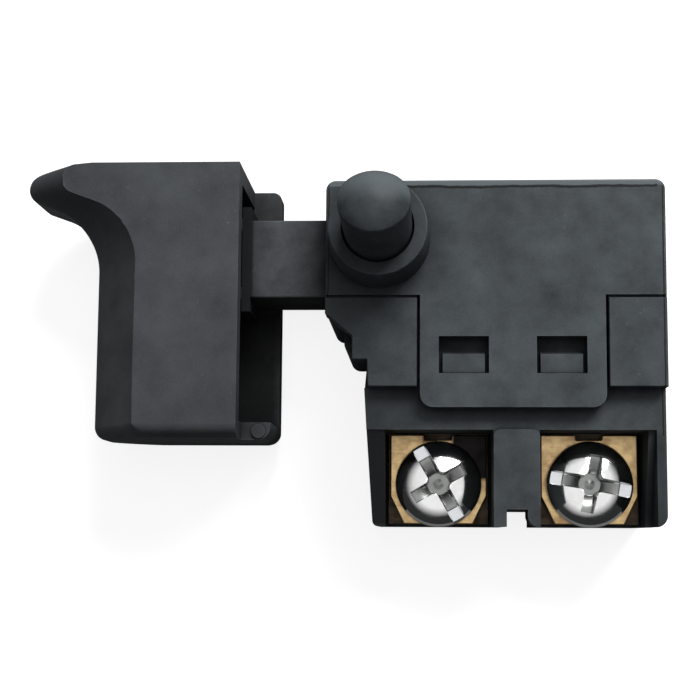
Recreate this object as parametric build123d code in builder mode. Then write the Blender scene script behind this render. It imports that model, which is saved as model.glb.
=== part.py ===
from build123d import *
from math import cos, pi, radians, sin
import os

# Trigger speed control switch for a hand drill, in millimetres: a two-piece moulded case, a finger trigger on
# a sliding plunger, a lock-on button, two screw terminals, the switching contact and the speed control board.
# X runs from the finger side to the far end of the case, Y from the terminals to the top, and Z from the flat
# rear face to the lock button. The origin is the middle of the outline, on the rear face.

os.makedirs("parts", exist_ok=True)

# Case
case_length = 33.8
case_height = 34.6
case_depth = 14.0
cap_height = 11.7
wall = 1.8
corner_radius = 1.0
edge_round = 0.25
slide_gap = 0.12
assembly_gap = 0.1

# Trigger and how far it stands from the case
trigger_reach = 31.5
trigger_rise = 2.0
trigger_height = 27.9
trigger_width = 12.0
trigger_wall = 1.8
trigger_mouth = 8.75
far_wall_extension = 3.0
finger_face = 7.7
finger_round = 4.5
nose_radius = 1.5
nose_drop = 0.15
hook_slope = 17.0
hook_curve = 7.0
hook_hollow = 3.7
finger_round_steps = 4
trigger_edge_round = 1.4
hollow_round = 0.6
floor_end_depth = 3.5
mark_radius = 0.7
mark_inset = 0.5
rib_thickness = 1.2
travel = 5.5

# Plunger
plunger_height = 8.2
plunger_below_top = 2.95
plunger_inside = 20.3
head_thickness = 0.9
head_height = 11.0
head_proud = 0.65
stem_height = 6.0
stem_width = 5.0
pocket_width = 3.3
pocket_depth = 4.0
pocket_end_gap = 0.25
pocket_lead = 0.9
cam_width = 2.4
cam_lead = 1.0

# Lock button and its boss
button_from_left = 5.38
button_from_top = 5.95
boss_base_radius = 5.1
boss_height = 4.4
boss_taper = 4.0
button_radius = 3.4
button_gap = 0.15
ledge_thickness = 1.2
button_rise = 9.8
dome_height = 3.0
button_travel = 3.0
button_wall = 0.7
button_crown = 3.4
blade_thickness = 1.1
blade_width = 2.4
blade_shift = 1.0
blade_below_case = 4.4
barb_reach = 0.4
barb_height = 1.0

# Tongues of the cap and the latches that hold them
tongue_thickness = 1.4
tongue_left_inset = 9.47
tongue_width = 18.3
tongue_length = 11.2
tongue_radius = 1.3
tongue_gap = 0.3
window_width = 4.95
window_height = 3.7
window_above_end = 3.35
window_pitch = 9.65
latch_width = 4.15
latch_height = 2.2
latch_lead = 0.35
latch_rise = 1.05

# Base
lug_height = 9.15
ear_plate_depth = 1.0
seam_groove = 0.3
block_width = 29.5
block_draft = 0.4
block_radius = 1.2
ear_steps = (2.7, 1.5, 0.1)
ear_drops = (1.8, 2.3, 2.35)
lobe_step = 1.8
lobe_drops = (2.4, 5.6)
lobe_radius = 1.1
chamber_width = 10.8
chamber_height = 9.6
seat_depth = 5.8
terminal_pitch = 15.36
notch_width = 2.06
notch_height = 1.7
notch_flare = 1.1
notch_relief = 1.1
notch_lip = 3.0
middle_proud = 0.45
middle_radius = 0.7
shelf_step = 0.35
shelf_fall = 2.4
shelf_rim = 0.95
cavity_bottom_wall = 1.7
cavity_end_wall = 1.75

# Terminals
strip_inset = 0.3
strip_thickness = 1.0
strip_width = 10.2
tail_width = 3.1
tail_run = 1.5
clamp_width = 9.8
clamp_height = 9.1
clamp_thickness = 1.0
clamp_corner = (1.4, 2.8)
clamp_notch = (2.7, 0.5)
clamp_hole_radius = 2.15
screw_radius = 1.95
screw_fit = 0.05
screw_length = 6.6
screw_below_chamber = 5.25
head_radius = 4.4
head_rim = 0.7
head_rise = 2.6
slot_width = 1.3
slot_depth = 1.6
cross_length = 6.0
cross_depth = 2.0
slot_turn = {"left": -60, "right": -10}
well_gap = 0.3

# Springs
wire_sides = 8
return_wire = 0.55
return_coil_radius = 2.1
return_turns = 11
button_wire = 0.4
button_coil_radius = 2.3
button_turns = 6
contact_wire = 0.3
contact_coil_radius = 0.85
contact_turns = 9
contact_spring_shift = 2.0

# Contact lever and contacts
lever_pivot_inset = 9.5
lever_pivot_drop = 3.8
pivot_radius = 0.8
pivot_fit = 0.05
eye_radius = 1.6
lever_arm = 11.3
lever_thickness = 0.8
lever_width = 3.8
lever_gap = 0.5
follower_arm = 8.0
follower_height = 2.7
follower_radius = 0.6
swing = 7.0
rivet_radius = 1.2
rivet_height = 0.6
rivet_shank_radius = 0.6
rivet_round = 0.45
contact_gap = 0.12

# Speed control board
board_length = 25.0
board_height = 10.6
board_thickness = 1.0
triac_size = (7.5, 6.0, 3.0)
capacitor_radius = 2.4
capacitor_thickness = 2.2
resistor_radius = 0.9
resistor_length = 4.4
diode_radius = 0.8
diode_length = 3.6
lead_radius = 0.25
wiper_thickness = 0.3
wiper_width = 3.0

# Levels that follow from them
total_height = case_height + trigger_rise
right = (case_length + trigger_reach) / 2
left = right - case_length
nose = left - trigger_reach
trigger_top = total_height / 2
top = trigger_top - trigger_rise
bottom = top - case_height
seam_y = top - cap_height
inner_left = left + wall
inner_right = right - wall
tongue_left = left + tongue_left_inset
tongue_right = tongue_left + tongue_width
tongue_mid = (tongue_left + tongue_right) / 2
tongue_end = seam_y - tongue_length
recessed_front = case_depth - tongue_thickness
front_layer = recessed_front - ear_plate_depth
window_low = tongue_end + window_above_end
lug_bottom = seam_y - lug_height

mouth_x = left - trigger_mouth
trigger_bottom = trigger_top - trigger_height
trigger_high_z = case_depth
trigger_low_z = trigger_high_z - trigger_width
trigger_z = (trigger_low_z + trigger_high_z) / 2
finger_x = nose + finger_face
back_x = mouth_x + far_wall_extension
hollow_x = finger_x + trigger_wall
hollow_bottom = trigger_bottom + trigger_wall
hollow_top = trigger_top - trigger_wall
hollow_low_z = trigger_low_z + trigger_wall
floor_end_z = trigger_high_z - floor_end_depth
head_high_x = mouth_x + head_proud
head_low_x = head_high_x - head_thickness

plunger_top = top - plunger_below_top
plunger_bottom = plunger_top - plunger_height
plunger_y = (plunger_top + plunger_bottom) / 2
plunger_z = case_depth / 2
plunger_width = 2 * (plunger_z - hollow_low_z)
plunger_end = left + plunger_inside

button_x = left + button_from_left
button_y = top - button_from_top
boss_top = case_depth + boss_height
ledge_top = case_depth - wall + ledge_thickness
button_top = boss_top + button_rise
skirt_bottom = ledge_top + button_travel + assembly_gap
button_roof = button_top - button_crown
dome_radius = (button_radius**2 + dome_height**2) / (2 * dome_height)
blade_tip = case_depth - blade_below_case
barb_top = case_depth - wall - assembly_gap
blade_x = button_x + blade_shift
blade_right = blade_x + blade_thickness / 2

block_left = right - block_width
block_mid = (block_left + right) / 2
chamber_top = bottom + chamber_height
terminal_y = chamber_top - screw_below_chamber
terminal_x = {"left": block_mid - terminal_pitch / 2, "right": block_mid + terminal_pitch / 2}
seat_z = recessed_front - seat_depth
strip_top = seat_z + strip_thickness
clamp_top = strip_top + clamp_thickness
cavity_left = block_left + cavity_end_wall
cavity_right = right - cavity_end_wall
cavity_bottom = chamber_top + cavity_bottom_wall
cavity_top_z = recessed_front - wall
cavity_floor = tongue_thickness + wall
board_top = cavity_floor + board_thickness
board_left = (cavity_left + cavity_right - board_length) / 2
board_low_y = cavity_bottom + assembly_gap

pivot_x = left + lever_pivot_inset
pivot_y = seam_y - lever_pivot_drop
rivet_x = pivot_x + lever_arm
lever_high_z = cavity_top_z - lever_gap
lever_low_z = lever_high_z - lever_width
lever_z = (lever_low_z + lever_high_z) / 2
lever_bottom = pivot_y - lever_thickness / 2
lever_top = pivot_y + lever_thickness / 2
follower_x = pivot_x + follower_arm
follower_top = lever_top + follower_height
rivet_drop = lever_arm * radians(swing)
run_length = rivet_x + rivet_radius - terminal_x["left"] + tail_width / 2
pad_top = lever_bottom - 2 * rivet_height - rivet_drop - contact_gap
cam_slope = follower_arm * radians(swing) / travel
cam_y = follower_top + assembly_gap
strip_low_y = bottom + strip_inset
clamp_low_y = strip_low_y
run_low = cavity_bottom + assembly_gap
tail_end = run_low + tail_run
pocket_left = blade_x - blade_thickness / 2 - travel - pocket_end_gap
pocket_right = blade_right + barb_reach + pocket_lead
return_floor = pocket_right + wall
return_bore_radius = return_coil_radius + return_wire / 2 + assembly_gap
head_dome = head_rise - head_rim
spring_x = (pivot_x + follower_x) / 2 + contact_spring_shift
triac_y = tail_end + edge_round + triac_size[1] / 2
diode_y = triac_y + triac_size[1] / 2 + edge_round + diode_radius
spring_z = strip_top + contact_coil_radius + contact_wire / 2 + assembly_gap


def write(piece, name):
    """Labels a finished piece and writes it to a file of its own."""
    piece.part.label = name
    export_step(piece.part, f"parts/{name}.step")


def window_places():
    """The middles of the two latch windows, as offsets along X from the tongue's middle line."""
    return [tongue_mid - window_pitch / 2, tongue_mid + window_pitch / 2]


# Cap of the case: a five-sided box with the button's boss, and a latching tongue on its front and rear
with BuildPart() as upper_housing:
    with BuildSketch(Plane.XY) as cap_outline:
        with Locations(((left + right) / 2, (seam_y + top) / 2)):
            Rectangle(case_length, cap_height)
        fillet(cap_outline.vertices().group_by(Axis.Y)[-1], corner_radius)
    extrude(amount=case_depth)
    fillet(upper_housing.edges().group_by(Axis.Z)[-1].sort_by(Axis.Y)[1:], edge_round)
    fillet(upper_housing.edges().group_by(Axis.Z)[0].sort_by(Axis.Y)[1:], edge_round)
    with BuildSketch(Plane.XY.offset(case_depth)):
        with Locations((button_x, button_y)):
            Circle(boss_base_radius)
    extrude(amount=boss_height, taper=boss_taper)
    fillet(upper_housing.edges().group_by(Axis.Z)[-1], edge_round / 2)
    for tongue_z in (0, recessed_front):
        with BuildSketch(Plane.XY.offset(tongue_z)) as tongue:
            with Locations((tongue_mid, (tongue_end + seam_y + wall) / 2)):
                Rectangle(tongue_width, tongue_length + wall)
            fillet(tongue.vertices().group_by(Axis.Y)[0], tongue_radius)
            with Locations([(x, window_low + window_height / 2) for x in window_places()]):
                Rectangle(window_width, window_height, mode=Mode.SUBTRACT)
        extrude(amount=tongue_thickness)
    with BuildSketch(Plane.XY.offset(wall)):
        with Locations(((inner_left + inner_right) / 2, (seam_y + top - wall) / 2)):
            Rectangle(inner_right - inner_left, top - wall - seam_y)
    extrude(amount=case_depth - 2 * wall, mode=Mode.SUBTRACT)
    with BuildSketch(Plane.YZ.offset(left)):
        with Locations(((seam_y + plunger_top + slide_gap) / 2, plunger_z)):
            Rectangle(plunger_top + slide_gap - seam_y, plunger_width + 2 * slide_gap)
    extrude(amount=wall, mode=Mode.SUBTRACT)
    with BuildSketch(Plane.XY.offset(ledge_top)):
        with Locations((button_x, button_y)):
            Circle(button_radius + button_gap)
    extrude(amount=boss_top - ledge_top, mode=Mode.SUBTRACT)
    with BuildSketch(Plane.XY.offset(case_depth - wall)):
        with Locations((blade_x, button_y)):
            Rectangle(blade_thickness + 2 * assembly_gap, blade_width + 2 * assembly_gap)
    extrude(amount=ledge_thickness, mode=Mode.SUBTRACT)
    with BuildSketch(Plane.YZ.offset(inner_right)):
        with Locations((plunger_y, plunger_z)):
            Circle(return_coil_radius - return_wire / 2 - assembly_gap)
    extrude(amount=-2 * wall)
write(upper_housing, "upper_housing")


def block_edges(step_points):
    """The base's outline: its top and right sides, its drafted left side, and the given points of its ear."""
    Polyline(
        *step_points,
        (block_left - block_draft, lug_bottom),
        (block_left + block_draft, bottom),
        (right, bottom),
        (right, seam_y),
        close=True,
    )


# Base of the case: terminal block below, mechanism cavity above, lugs beside the tongues
with BuildPart() as lower_housing:
    ear_x = [left, left + ear_steps[0], left + ear_steps[0] + ear_steps[1]]
    ear_y = [seam_y - ear_drops[0], seam_y - ear_drops[0] - ear_drops[1]]
    ear_foot = ear_y[1] - ear_drops[2]
    with BuildSketch(Plane.XY) as rear_outline:
        with BuildLine():
            block_edges(
                [
                    (left, seam_y),
                    (left, seam_y - lobe_drops[0]),
                    (left + lobe_step, seam_y - lobe_drops[0]),
                    (left + lobe_step, seam_y - lobe_drops[1]),
                    (ear_x[2], seam_y - lobe_drops[1]),
                ]
            )
        make_face()
        columns = rear_outline.vertices().group_by(Axis.X)
        fillet([column.sort_by(Axis.Y)[0] for column in columns[:2]], lobe_radius)
        fillet(rear_outline.vertices().group_by(Axis.Y)[0].sort_by(Axis.X)[-1], block_radius)
        fillet(rear_outline.vertices().group_by(Axis.Y)[0].sort_by(Axis.X)[0], block_radius / 2)
    extrude(amount=front_layer)
    with BuildSketch(Plane.XY.offset(front_layer)) as front_outline:
        with BuildLine():
            block_edges(
                [
                    (left, seam_y),
                    (left, ear_y[0]),
                    (ear_x[1], ear_y[1]),
                    (ear_x[1], ear_foot),
                    (ear_x[2], ear_foot),
                    (ear_x[2] + ear_steps[2], lug_bottom),
                ]
            )
        make_face()
        fillet(front_outline.vertices().group_by(Axis.Y)[0].sort_by(Axis.X)[-1], block_radius)
        fillet(front_outline.vertices().group_by(Axis.Y)[0].sort_by(Axis.X)[0], block_radius / 2)
    extrude(amount=recessed_front - front_layer)
    with BuildSketch(Plane.XY.offset(recessed_front)):
        with BuildLine():
            Polyline(
                (left, seam_y),
                (left, ear_y[0]),
                (ear_x[1], ear_y[1]),
                (ear_x[1], ear_foot),
                (ear_x[2], ear_foot),
                (ear_x[2] + ear_steps[2], lug_bottom),
                (tongue_left - tongue_gap, lug_bottom),
                (tongue_left - tongue_gap, seam_y),
                close=True,
            )
        make_face()
        with Locations(((tongue_right + tongue_gap + right) / 2, (seam_y + lug_bottom) / 2)):
            Rectangle(right - tongue_right - tongue_gap, lug_height)
    extrude(amount=tongue_thickness)
    fillet(lower_housing.edges().group_by(Axis.Z)[-1].sort_by(Axis.Y)[:-2], edge_round / 2)
    with BuildSketch(Plane.XY.offset(case_depth - seam_groove)):
        with Locations((left + case_length / 2, seam_y - seam_groove / 2)):
            Rectangle(case_length, seam_groove)
    extrude(amount=seam_groove, mode=Mode.SUBTRACT)
    with BuildSketch(Plane.XY) as rear_recess:
        with Locations((tongue_mid, (tongue_end - tongue_gap + seam_y) / 2)):
            Rectangle(tongue_width + 2 * tongue_gap, tongue_length + tongue_gap)
        fillet(rear_recess.vertices().group_by(Axis.Y)[0], tongue_radius)
    extrude(amount=tongue_thickness, mode=Mode.SUBTRACT)
    for latch_x in window_places():
        latch_left = latch_x - latch_width / 2
        latch_foot = window_low + assembly_gap
        with BuildSketch(Plane.YZ.offset(latch_left)):
            for face_z, out in ((recessed_front, latch_rise), (tongue_thickness, -latch_rise)):
                with BuildLine():
                    Polyline(
                        (latch_foot, face_z),
                        (latch_foot + latch_height, face_z),
                        (latch_foot + latch_height - latch_lead, face_z + out),
                        (latch_foot, face_z + out),
                        close=True,
                    )
                make_face()
        extrude(amount=latch_width)
    with BuildSketch(Plane.XY.offset(cavity_floor)):
        with Locations(((cavity_left + cavity_right) / 2, (cavity_bottom + seam_y) / 2)):
            Rectangle(cavity_right - cavity_left, seam_y - cavity_bottom)
    extrude(amount=cavity_top_z - cavity_floor, mode=Mode.SUBTRACT)
    with BuildSketch(Plane.XY.offset(seat_z)):
        with Locations([(x, (bottom + chamber_top) / 2) for x in terminal_x.values()]):
            Rectangle(chamber_width, chamber_height)
    extrude(amount=case_depth, mode=Mode.SUBTRACT)
    with BuildSketch(Plane.XY.offset(seat_z)):
        with Locations([(x, (chamber_top + cavity_bottom) / 2) for x in terminal_x.values()]):
            Rectangle(tail_width + 2 * assembly_gap, cavity_bottom - chamber_top)
    extrude(amount=strip_thickness + assembly_gap, mode=Mode.SUBTRACT)
    with BuildSketch(Plane.XY.offset(seat_z)):
        with Locations([(x, terminal_y) for x in terminal_x.values()]):
            Circle(screw_radius + well_gap)
    extrude(amount=clamp_top - seat_z - screw_length - well_gap, mode=Mode.SUBTRACT)
    with BuildSketch(Plane.XY.offset(recessed_front)) as middle_wall:
        with Locations((block_mid, (bottom + chamber_top) / 2)):
            Rectangle(terminal_pitch - chamber_width, chamber_height)
        fillet(middle_wall.vertices().group_by(Axis.Y)[-1], middle_radius)
    extrude(amount=middle_proud)
    for wall_left, wall_right in (
        (block_left - block_draft, terminal_x["left"]),
        (terminal_x["right"], right - shelf_rim),
    ):
        with BuildSketch(Plane.YZ.offset(wall_left)):
            with BuildLine():
                Polyline(
                    (chamber_top, recessed_front),
                    (chamber_top, recessed_front - shelf_step),
                    (bottom, recessed_front - shelf_step - shelf_fall),
                    (bottom, recessed_front),
                    close=True,
                )
            make_face()
        extrude(amount=wall_right - wall_left, mode=Mode.SUBTRACT)
    with BuildSketch(Plane.XY):
        with Locations((block_mid, bottom + notch_height / 2)):
            Rectangle(notch_width, notch_height)
    extrude(amount=case_depth, mode=Mode.SUBTRACT)
    with BuildSketch(Plane.XY):
        with Locations((block_mid, bottom)):
            Rectangle(notch_width / 2 + notch_relief, notch_height, align=Align.MIN)
    extrude(amount=recessed_front + middle_proud - notch_lip, mode=Mode.SUBTRACT)
    foot_edges = lower_housing.edges().filter_by(Axis.Z).group_by(Axis.Y)[0]
    fillet(foot_edges.filter_by_position(Axis.X, block_mid, block_mid + notch_width), notch_flare)
    with BuildSketch(Plane.XY.offset(lever_low_z - eye_radius / 2)):
        with Locations((pivot_x, pivot_y)):
            Circle(pivot_radius)
    extrude(amount=cavity_top_z - lever_low_z + eye_radius / 2)
    with BuildSketch(Plane.XZ.offset(-cavity_bottom)):
        with Locations((spring_x, spring_z)):
            Circle(contact_coil_radius - contact_wire / 2 - assembly_gap)
    extrude(amount=-wall)
write(lower_housing, "lower_housing")


def finger_edges(shift):
    """The trigger's outline seen from the front, with its finger side moved back by shift."""
    turn = radians(hook_slope)
    middle = (turn + pi / 2) / 2
    nose_x = nose + nose_radius + shift
    nose_y = trigger_top - nose_drop - nose_radius
    face_x = finger_x + shift
    curve_x = face_x - hook_curve
    hollow = Vector(curve_x + hook_curve * sin(turn), trigger_top - hook_hollow)
    curve_y = hollow.Y - hook_curve * cos(turn)
    under = Vector(nose_x - nose_radius * sin(turn), nose_y - nose_radius * cos(turn))
    Line((back_x, trigger_bottom), (back_x, trigger_top - corner_radius))
    RadiusArc((back_x, trigger_top - corner_radius), (back_x - corner_radius, trigger_top), -corner_radius)
    Line((back_x - corner_radius, trigger_top), (nose_x + nose_radius, trigger_top))
    Line((nose_x + nose_radius, trigger_top), (nose_x, nose_y + nose_radius))
    ThreePointArc((nose_x, nose_y + nose_radius), (nose_x - nose_radius, nose_y), under)
    Line(under, hollow)
    ThreePointArc(
        hollow,
        (curve_x + hook_curve * sin(middle), curve_y + hook_curve * cos(middle)),
        (face_x, curve_y),
    )
    Polyline((face_x, curve_y), (face_x, trigger_bottom), (back_x, trigger_bottom))


# Trigger: an open-backed shell, round on the finger side, with a hooked nose and a longer far wall
with BuildPart() as trigger:
    with BuildSketch(Plane.XY.offset(trigger_z)):
        with BuildLine():
            finger_edges(0)
        make_face()
    extrude(amount=trigger_width / 2 - finger_round, both=True)
    for side in (1, -1):
        for step in range(finger_round_steps + 1):
            angle = pi / 2 * step / finger_round_steps
            level = trigger_width / 2 - finger_round + finger_round * sin(angle)
            with BuildSketch(Plane.XY.offset(trigger_z + side * level)):
                with BuildLine():
                    finger_edges(finger_round * (1 - cos(angle)))
                make_face()
        loft()
    fillet(trigger.edges().group_by(Axis.Y)[0].sort_by(Axis.X)[:-1], trigger_edge_round)
    with BuildSketch(Plane.XZ.offset(-hollow_bottom)) as hollow_plan:
        with Locations(((hollow_x + back_x) / 2, trigger_z)):
            Rectangle(back_x - hollow_x, trigger_width - 2 * trigger_wall)
        fillet(hollow_plan.vertices().group_by(Axis.X)[0], hollow_round)
    extrude(amount=hollow_bottom - hollow_top, mode=Mode.SUBTRACT)
    with BuildSketch(Plane.XZ.offset(-hollow_bottom)):
        with Locations(((mouth_x + back_x) / 2, (hollow_low_z + trigger_high_z) / 2)):
            Rectangle(back_x - mouth_x, trigger_high_z - hollow_low_z)
    extrude(amount=hollow_bottom - trigger_top, mode=Mode.SUBTRACT)
    with BuildSketch(Plane.XZ.offset(-trigger_bottom)):
        with Locations(((mouth_x + back_x) / 2, (floor_end_z + trigger_high_z) / 2)):
            Rectangle(back_x - mouth_x, trigger_high_z - floor_end_z)
    extrude(amount=trigger_bottom - hollow_bottom, mode=Mode.SUBTRACT)
    with BuildSketch(Plane.XY.offset(floor_end_z)):
        with Locations((back_x - mark_radius - mark_inset, trigger_bottom + trigger_wall / 2)):
            Circle(mark_radius)
    extrude(amount=edge_round)
    with BuildSketch(Plane.XY.offset(hollow_low_z)):
        with Locations(((hollow_x + head_low_x) / 2, plunger_y)):
            with GridLocations(0, stem_height + rib_thickness, 1, 2):
                Rectangle(head_low_x - hollow_x, rib_thickness)
    extrude(amount=trigger_width - 2 * trigger_wall)
write(trigger, "trigger")


# Plunger: slides in the case, with a head and stem in the trigger, a bore for the return spring, a pocket
# that the lock button drops into, and a cam that works the contact lever
with BuildPart() as plunger:
    with BuildSketch(Plane.YZ.offset(head_high_x)):
        with Locations((plunger_y, plunger_z)):
            RectangleRounded(plunger_height, plunger_width, edge_round)
    extrude(amount=plunger_end - head_high_x)
    with BuildSketch(Plane.YZ.offset(head_low_x)):
        with Locations((plunger_y, plunger_z)):
            Rectangle(head_height, plunger_width)
    extrude(amount=head_thickness)
    with BuildSketch(Plane.YZ.offset(hollow_x)):
        with Locations((plunger_y, plunger_z)):
            Rectangle(stem_height, stem_width)
    extrude(amount=head_low_x - hollow_x)
    with BuildSketch(Plane.XY.offset(plunger_z + plunger_width / 2)):
        with Locations(((pocket_left + pocket_right) / 2, button_y)):
            Rectangle(pocket_right - pocket_left, pocket_width)
    extrude(amount=-pocket_depth, mode=Mode.SUBTRACT)
    with BuildSketch(Plane.XY.offset(lever_z - cam_width / 2)):
        with BuildLine():
            Polyline(
                (follower_x + cam_lead, cam_y + cam_slope * cam_lead),
                (follower_x - travel - cam_lead, cam_y - cam_slope * (travel + cam_lead)),
                (follower_x - travel - cam_lead, plunger_y),
                (follower_x + cam_lead, plunger_y),
                close=True,
            )
        make_face()
    extrude(amount=cam_width)
    with BuildSketch(Plane.YZ.offset(plunger_end)):
        with Locations((plunger_y, plunger_z)):
            Circle(return_bore_radius)
    extrude(amount=return_floor - plunger_end, mode=Mode.SUBTRACT)
write(plunger, "plunger")


# Lock button: a domed cap over its spring, on a blade to one side whose barb holds it in the case
with BuildPart() as lock_button:
    button_plane = Plane(origin=(button_x, button_y, 0), x_dir=(1, 0, 0), z_dir=(0, -1, 0))
    with BuildSketch(button_plane):
        with BuildLine():
            Polyline(
                (0, button_top),
                (0, button_roof),
                (button_radius - button_wall, button_roof),
                (button_radius - button_wall, skirt_bottom),
                (button_radius, skirt_bottom),
                (button_radius, button_top - dome_height),
            )
            RadiusArc((button_radius, button_top - dome_height), (0, button_top), -dome_radius)
        make_face()
    revolve(axis=Axis((button_x, button_y, 0), (0, 0, 1)))
    with BuildSketch(Plane.XY.offset(button_roof)):
        with Locations((blade_x, button_y)):
            Rectangle(blade_thickness, blade_width)
    extrude(amount=blade_tip - button_roof)
    with BuildSketch(Plane.XY.offset(barb_top)):
        with Locations((blade_right + barb_reach / 2, button_y)):
            Rectangle(barb_reach, blade_width)
    extrude(amount=-barb_height)
write(lock_button, "lock_button")


def coil_spring(name, start, direction, length, coil_radius, wire, turns):
    """Writes a round-wire coil spring that fills length along direction from start."""
    along = Vector(direction)
    foot = Vector(start) + along * wire / 2
    height = length - wire
    with BuildPart() as spring:
        with BuildLine():
            coil = Helix(height / turns, height, coil_radius, center=foot, direction=along)
        with BuildSketch(Plane(origin=coil @ 0, z_dir=coil % 0)):
            RegularPolygon(wire / 2, wire_sides)
        sweep(path=coil, is_frenet=True)
    write(spring, name)


coil_spring(
    "return_spring",
    (return_floor + assembly_gap / 2, plunger_y, plunger_z),
    (1, 0, 0),
    inner_right - return_floor - assembly_gap,
    return_coil_radius,
    return_wire,
    return_turns,
)
coil_spring(
    "lock_button_spring",
    (button_x, button_y, ledge_top + assembly_gap / 2),
    (0, 0, 1),
    button_roof - ledge_top - assembly_gap,
    button_coil_radius,
    button_wire,
    button_turns,
)
coil_spring(
    "contact_spring",
    (spring_x, cavity_bottom + assembly_gap / 2, spring_z),
    (0, 1, 0),
    lever_bottom - cavity_bottom - assembly_gap,
    contact_coil_radius,
    contact_wire,
    contact_turns,
)


# Terminal strips: a tab under each clamp, with a tail through the wall into the mechanism cavity
for side, x in terminal_x.items():
    with BuildPart() as terminal:
        with BuildSketch(Plane.XY.offset(seat_z)):
            with Locations((x, (strip_low_y + chamber_top) / 2)):
                Rectangle(strip_width, chamber_top - strip_low_y)
            with Locations((x, (chamber_top + tail_end) / 2)):
                Rectangle(tail_width, tail_end - chamber_top)
            with Locations((x, terminal_y)):
                Circle(screw_radius + screw_fit, mode=Mode.SUBTRACT)
            if side == "left":
                with Locations((x - tail_width / 2, run_low)):
                    Rectangle(run_length, tail_end - run_low, align=Align.MIN)
                with Locations((rivet_x, (run_low + pad_top) / 2)):
                    Rectangle(2 * rivet_radius, pad_top - run_low)
        extrude(amount=strip_thickness)
        if side == "left":
            with BuildSketch(Plane.XZ.offset(-pad_top)):
                with Locations((rivet_x, (seat_z + lever_z + rivet_radius) / 2)):
                    Rectangle(2 * rivet_radius, lever_z + rivet_radius - seat_z)
            extrude(amount=strip_thickness)
        else:
            with BuildSketch(Plane.XY.offset(board_top)):
                with Locations((x, tail_end - strip_thickness / 2)):
                    Rectangle(tail_width, strip_thickness)
            extrude(amount=strip_top - board_top)
    write(terminal, f"{side}_terminal")


# Clamp plates: square, with two corners cut towards the wire entry and a notch at the top
for side, x in terminal_x.items():
    with BuildPart() as clamp:
        with BuildSketch(Plane.XY.offset(strip_top)):
            with BuildLine():
                Polyline(
                    (x - clamp_width / 2 + clamp_corner[0], clamp_low_y),
                    (x + clamp_width / 2 - clamp_corner[0], clamp_low_y),
                    (x + clamp_width / 2, clamp_low_y + clamp_corner[1]),
                    (x + clamp_width / 2, clamp_low_y + clamp_height),
                    (x - clamp_width / 2, clamp_low_y + clamp_height),
                    (x - clamp_width / 2, clamp_low_y + clamp_corner[1]),
                    close=True,
                )
            make_face()
            with Locations((x, clamp_low_y + clamp_height - clamp_notch[1] / 2)):
                Rectangle(*clamp_notch, mode=Mode.SUBTRACT)
            with Locations((x, terminal_y)):
                Circle(clamp_hole_radius, mode=Mode.SUBTRACT)
        extrude(amount=clamp_thickness)
    write(clamp, f"{side}_clamp")


# Terminal screws: domed heads with a slot right across and a shorter cross recess
for side, x in terminal_x.items():
    with BuildPart() as screw:
        with BuildSketch(Plane(origin=(x, terminal_y, 0), x_dir=(1, 0, 0), z_dir=(0, -1, 0))):
            with BuildLine():
                dome = RadiusArc(
                    (head_radius, clamp_top + head_rim),
                    (0, clamp_top + head_rise),
                    -(head_radius**2 + head_dome**2) / (2 * head_dome),
                )
                Polyline(
                    dome @ 1,
                    (0, clamp_top - screw_length),
                    (screw_radius - edge_round, clamp_top - screw_length),
                    (screw_radius, clamp_top - screw_length + edge_round),
                    (screw_radius, clamp_top),
                    (head_radius, clamp_top),
                    dome @ 0,
                )
            make_face()
        revolve(axis=Axis((x, terminal_y, 0), (0, 0, 1)))
        with BuildSketch(Plane.XY.offset(clamp_top + head_rise)):
            with Locations(Location((x, terminal_y, 0), slot_turn[side])):
                Rectangle(2 * head_radius, slot_width)
        extrude(amount=-slot_depth, mode=Mode.SUBTRACT)
        with BuildSketch(Plane.XY.offset(clamp_top + head_rise)):
            with Locations(Location((x, terminal_y, 0), slot_turn[side])):
                Rectangle(slot_width, cross_length)
                Rectangle(cross_length, slot_width)
        extrude(amount=-cross_depth, mode=Mode.SUBTRACT)
    write(screw, f"{side}_screw")


# Contact lever: an eye on the case's pivot pin, an arm to the moving contact, and a follower under the cam
with BuildPart() as contact_lever:
    with BuildSketch(Plane.XY.offset(lever_low_z)):
        with Locations((pivot_x, pivot_y)):
            Circle(eye_radius)
        with Locations(((pivot_x + rivet_x + rivet_radius) / 2, pivot_y)):
            Rectangle(lever_arm + rivet_radius, lever_thickness)
        with Locations((follower_x, (pivot_y + follower_top - follower_radius) / 2)):
            Rectangle(2 * follower_radius, follower_top - follower_radius - pivot_y)
        with Locations((follower_x, follower_top - follower_radius)):
            Circle(follower_radius)
        with Locations((pivot_x, pivot_y)):
            Circle(pivot_radius + pivot_fit, mode=Mode.SUBTRACT)
    extrude(amount=lever_high_z - lever_low_z)
    with BuildSketch(Plane.XZ.offset(-lever_top)):
        with Locations((rivet_x, lever_z)):
            Circle(rivet_shank_radius)
    extrude(amount=lever_thickness, mode=Mode.SUBTRACT)
write(contact_lever, "contact_lever")


# Contact rivets: one set in the lever, one set on the left terminal's pad, closing face to face
with BuildPart() as moving_contact:
    with BuildSketch(Plane.XZ.offset(-lever_top)):
        with Locations((rivet_x, lever_z)):
            Circle(rivet_shank_radius)
    extrude(amount=lever_thickness)
    with BuildSketch(Plane.XZ.offset(-lever_bottom)):
        with Locations((rivet_x, lever_z)):
            Circle(rivet_radius)
    extrude(amount=rivet_height)
    fillet(moving_contact.edges().group_by(Axis.Y)[0], rivet_round)
write(moving_contact, "moving_contact")

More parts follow.
